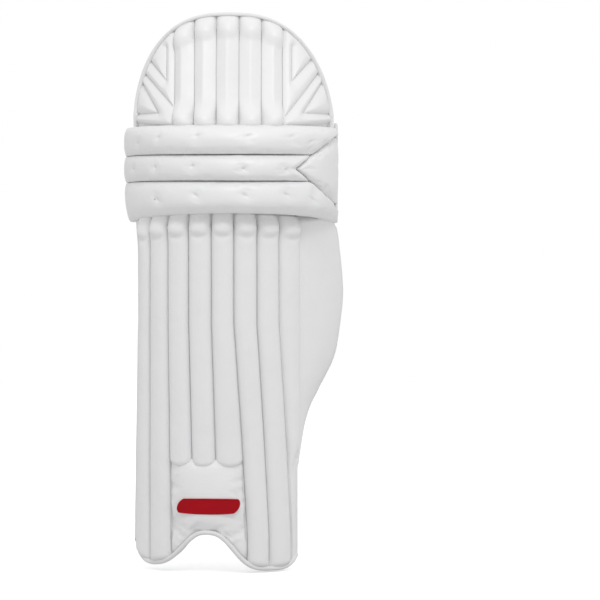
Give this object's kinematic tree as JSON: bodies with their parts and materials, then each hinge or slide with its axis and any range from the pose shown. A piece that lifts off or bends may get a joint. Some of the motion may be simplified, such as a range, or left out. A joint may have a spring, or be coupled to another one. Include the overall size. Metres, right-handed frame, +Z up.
{
  "type": "cricket leg pad",
  "caption": "Left-leg cricket batting pad: channelled shin, three stuffed knee rolls, arched top, outer wing, padded lining and closing straps behind the leg.",
  "frame": {"origin": "centre of the knee, on the axis of the leg that wears the pad", "axes": "+Z up the leg, -Y to the front of the shin, +X to the outer side of the leg"},
  "size_m": [0.2796, 0.1614, 0.7068],
  "materials": {
    "white_leather": "white coated leather with a fine grain and a soft satin sheen",
    "white_binding": "narrow folded white binding tape",
    "white_mesh": "white spacer mesh over foam, matt",
    "grey_felt": "pale grey brushed loop tape, matt",
    "grey_lining": "pale blue-grey woven lining, matt",
    "cane": "split cane packed with foam, unfinished",
    "board": "pressed fibre board, matt"
  },
  "bodies": {
    "pad_body": {"shin_channel_1": "white_leather", "shin_channel_2": "white_leather", "shin_channel_3": "white_leather", "shin_channel_4": "white_leather", "shin_channel_5": "white_leather", "shin_channel_6": "white_leather", "shin_channel_7": "white_leather", "shin_channel_8": "white_leather", "shin_cane_1": "cane", "shin_cane_2": "cane", "shin_cane_3": "cane", "shin_cane_4": "cane", "shin_cane_5": "cane", "shin_cane_6": "cane", "shin_cane_7": "cane", "shin_cane_8": "cane", "shin_board": "board", "shin_liner": "grey_lining", "shin_bolster_inner": "white_mesh", "shin_bolster_outer": "white_mesh", "instep_panel": "white_leather", "outer_margin": "white_leather", "shin_side_wall": "white_leather", "upper_knee_roll": "white_leather", "middle_knee_roll": "white_leather", "lower_knee_roll": "white_leather", "knee_wedge": "white_leather", "knee_board": "board", "knee_cup": "white_mesh", "dome_channel_1": "white_leather", "dome_channel_2": "white_leather", "dome_channel_3": "white_leather", "dome_channel_4": "white_leather", "dome_channel_5": "white_leather", "dome_cane_1": "cane", "dome_cane_2": "cane", "dome_cane_3": "cane", "dome_cane_4": "cane", "dome_cane_5": "cane", "dome_side_inner": "white_leather", "dome_side_outer": "white_leather", "dome_board": "board", "dome_liner": "white_mesh", "dome_binding": "white_binding", "knee_binding_inner": "white_binding", "knee_binding_outer": "white_binding", "foot_binding": "white_binding"},
    "outer_wing": {"outer_wing": "white_leather", "wing_binding": "white_binding", "wing_hook_patch": "grey_felt"},
    "knee_strap": {"knee_strap": "grey_felt"},
    "upper_calf_pad": {"upper_calf_pad": "white_mesh"},
    "calf_strap": {"calf_strap": "grey_felt", "lower_calf_pad": "white_mesh", "calf_flap": "white_mesh", "strap_keeper": "white_binding"},
    "ankle_strap": {"ankle_strap": "grey_felt", "ankle_loop": "grey_felt"},
    "inner_flap": {"inner_flap": "grey_felt"}
  },
  "joints": [
    {"name": "wing_flex", "type": "hinge", "parent": "pad_body", "child": "outer_wing", "pos_m": [0.09015, -0.01714, -0.22225], "axis": [0, 0.0658, -0.9978], "range_deg": [0, 25]},
    {"name": "knee_strap_open", "type": "hinge", "parent": "pad_body", "child": "knee_strap", "pos_m": [-0.117, 0.0235, -0.0432], "axis": [0, 0, 1], "range_deg": [0, 100]},
    {"name": "upper_calf_pad_open", "type": "hinge", "parent": "pad_body", "child": "upper_calf_pad", "pos_m": [-0.096, 0.005, -0.1115], "axis": [0, 0, 1], "range_deg": [0, 75]},
    {"name": "calf_strap_open", "type": "hinge", "parent": "pad_body", "child": "calf_strap", "pos_m": [-0.097, 0.0055, -0.204], "axis": [0, 0, 1], "range_deg": [0, 95]},
    {"name": "ankle_strap_open", "type": "hinge", "parent": "pad_body", "child": "ankle_strap", "pos_m": [-0.096, 0.0035, -0.3582], "axis": [0, 0, 1], "range_deg": [0, 70]},
    {"name": "inner_flap_open", "type": "hinge", "parent": "pad_body", "child": "inner_flap", "pos_m": [-0.099, 0.005, -0.4125], "axis": [0, 0, 1], "range_deg": [0, 70]}
  ]
}
